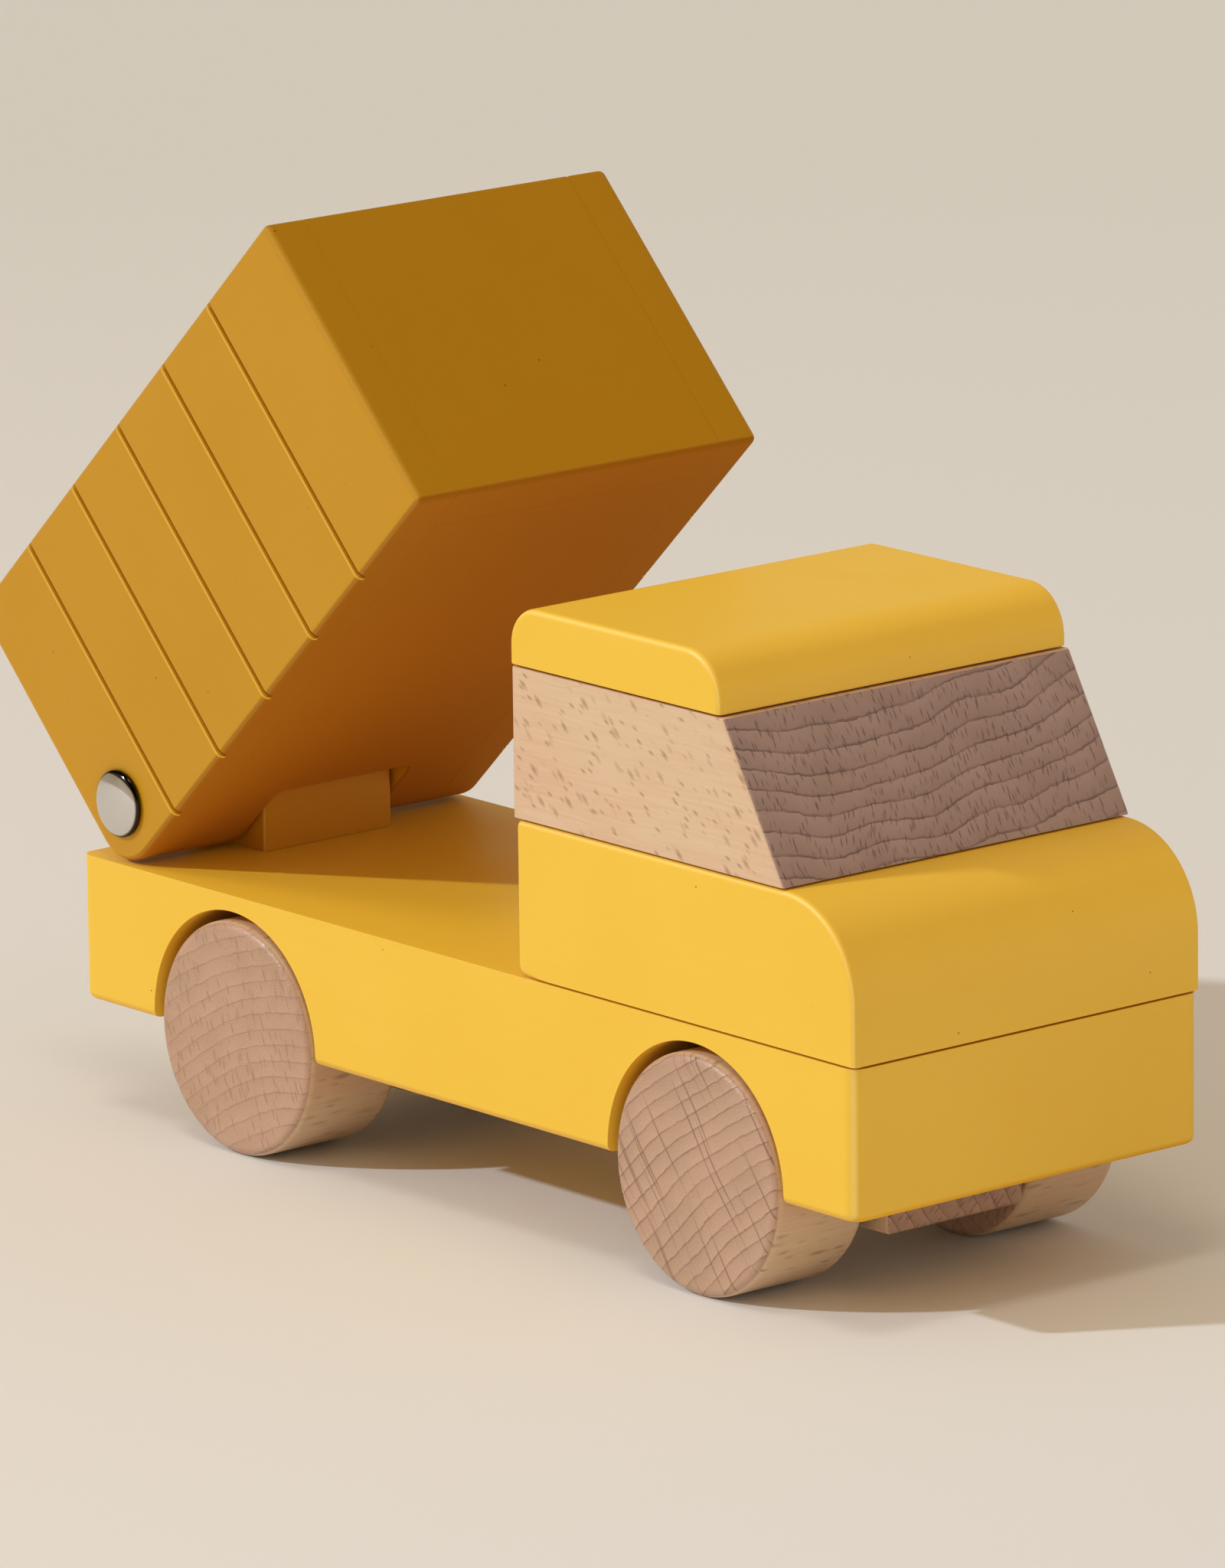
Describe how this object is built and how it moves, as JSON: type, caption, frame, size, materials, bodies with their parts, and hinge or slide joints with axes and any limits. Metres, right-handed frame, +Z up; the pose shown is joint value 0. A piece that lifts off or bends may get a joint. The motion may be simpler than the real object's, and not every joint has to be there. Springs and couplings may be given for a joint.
{
  "type": "toy dump truck",
  "caption": "Wooden toy dump truck with a hopper that tips about a pin at the rear, a cab stacked from wooden blocks, and wheels that roll on axles under the chassis.",
  "frame": {"origin": "on the ground under the middle of the truck's box with the hopper raised, in the truck's middle plane", "axes": "+X towards the cab's nose, +Y towards the truck's left side, +Z up; the wheels stand on Z = 0"},
  "size_m": [0.2187, 0.0746, 0.1547],
  "materials": {
    "yellow_paint": "solid wood under satin yellow water-based paint",
    "beech": "bare sanded beech with a thin matt oil",
    "steel": "drawn zinc-plated steel",
    "chrome": "polished nickel-plated steel"
  },
  "bodies": {
    "chassis": {"chassis": "yellow_paint", "hood_block": "yellow_paint", "window_block": "beech", "roof_board": "yellow_paint", "cab_dowel_rear": "beech", "cab_dowel_front": "beech", "hinge_block": "yellow_paint", "hinge_screw_left": "steel", "hinge_screw_right": "steel", "rear_axle_block": "beech", "rear_block_screw_rear": "steel", "rear_block_screw_front": "steel", "front_axle_block": "beech", "front_block_screw_rear": "steel", "front_block_screw_front": "steel"},
    "hopper": {"hopper_floor": "yellow_paint", "hopper_front_wall": "yellow_paint", "hopper_left_side": "yellow_paint", "hopper_right_side": "yellow_paint", "hinge_pin": "steel", "left_pin_cap": "chrome", "right_pin_cap": "chrome"},
    "rear_wheelset": {"rear_axle": "steel", "rear_left_wheel": "beech", "rear_right_wheel": "beech"},
    "front_wheelset": {"front_axle": "steel", "front_left_wheel": "beech", "front_right_wheel": "beech"}
  },
  "joints": [
    {"name": "hopper_tip", "type": "hinge", "parent": "chassis", "child": "hopper", "pos_m": [-0.07225, 0, 0.0535], "axis": [0, -1, 0], "range_deg": [-44, 46]},
    {"name": "rear_axle_roll", "type": "hinge", "parent": "chassis", "child": "rear_wheelset", "pos_m": [-0.04275, 0, 0.0194], "axis": [0, 1, 0], "continuous": true},
    {"name": "front_axle_roll", "type": "hinge", "parent": "chassis", "child": "front_wheelset", "pos_m": [0.07175, 0, 0.0194], "axis": [0, 1, 0], "continuous": true}
  ]
}
